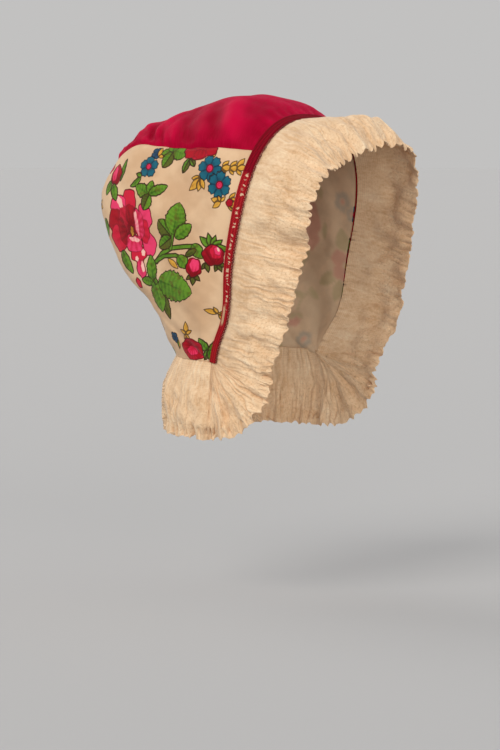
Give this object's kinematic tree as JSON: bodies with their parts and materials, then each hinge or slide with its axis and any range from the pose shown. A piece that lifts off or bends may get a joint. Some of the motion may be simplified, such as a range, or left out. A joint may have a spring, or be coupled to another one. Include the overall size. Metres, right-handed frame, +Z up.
{
  "type": "three-piece cloth bonnet with lace frill",
  "caption": "Soft close bonnet: a puffed centre strip between printed side panels, edged with braid and a gathered lace frill round the face and nape.",
  "frame": {"origin": "on the inside of the crown's top, on the wearer's middle plane, where the bonnet sits on a head", "axes": "+Z up as worn, -Y the way the face looks, +X to the wearer's left; the lower front corners lie on one line along X"},
  "size_m": [0.154, 0.2002, 0.2284],
  "materials": {
    "sateen": "plain magenta cotton sateen, soft sheen",
    "printed_challis": "cream wool challis with printed roses, matte",
    "braid": "narrow woven red braid with pale flecks, matte",
    "lace": "cream cotton lace, matte, pierced",
    "tape": "cream cotton tape, matte"
  },
  "bodies": {
    "root": {"crown_strip": "sateen", "side_panel_right": "printed_challis", "side_panel_left": "printed_challis", "front_binding": "braid", "lace_frill": "lace", "nape_tab_right": "tape", "nape_tab_left": "tape"}
  },
  "joints": []
}
